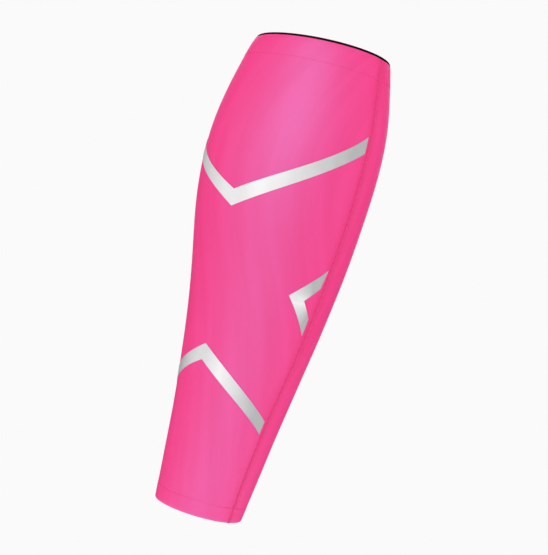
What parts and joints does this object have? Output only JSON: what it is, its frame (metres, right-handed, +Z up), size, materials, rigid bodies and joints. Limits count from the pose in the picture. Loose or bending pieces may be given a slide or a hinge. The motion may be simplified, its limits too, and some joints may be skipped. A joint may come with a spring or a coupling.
{
  "type": "calf compression sleeve",
  "caption": "Knitted compression sleeve for the calf, open at knee and ankle, with a back seam, stitched edges and reflective chevrons on its outer side.",
  "frame": {"origin": "centre of the knee opening, in the plane of the sleeve's top edge; the sleeve keeps the form of a worn leg and hangs below it", "axes": "+Z up the leg, out of the knee opening; +Y to the back of the calf; +X to the outer side of a left leg, where the chevrons are"},
  "size_m": [0.1228, 0.1166, 0.3328],
  "materials": {
    "pink_knit": "fine stretch knit with a soft sheen, hot pink",
    "seam_knit": "narrow sewn seam in the same knit, a little darker in its groove",
    "black_elastic": "matte black ribbed elastic",
    "reflective_film": "satin silver reflective film, brightest where it faces the viewer"
  },
  "bodies": {
    "root": {"sleeve_panel": "pink_knit", "back_seam": "seam_knit", "knee_grip_band": "black_elastic", "ankle_hem": "pink_knit", "reflective_chevron_upper": "reflective_film", "reflective_chevron_side": "reflective_film", "reflective_chevron_lower": "reflective_film"}
  },
  "joints": []
}
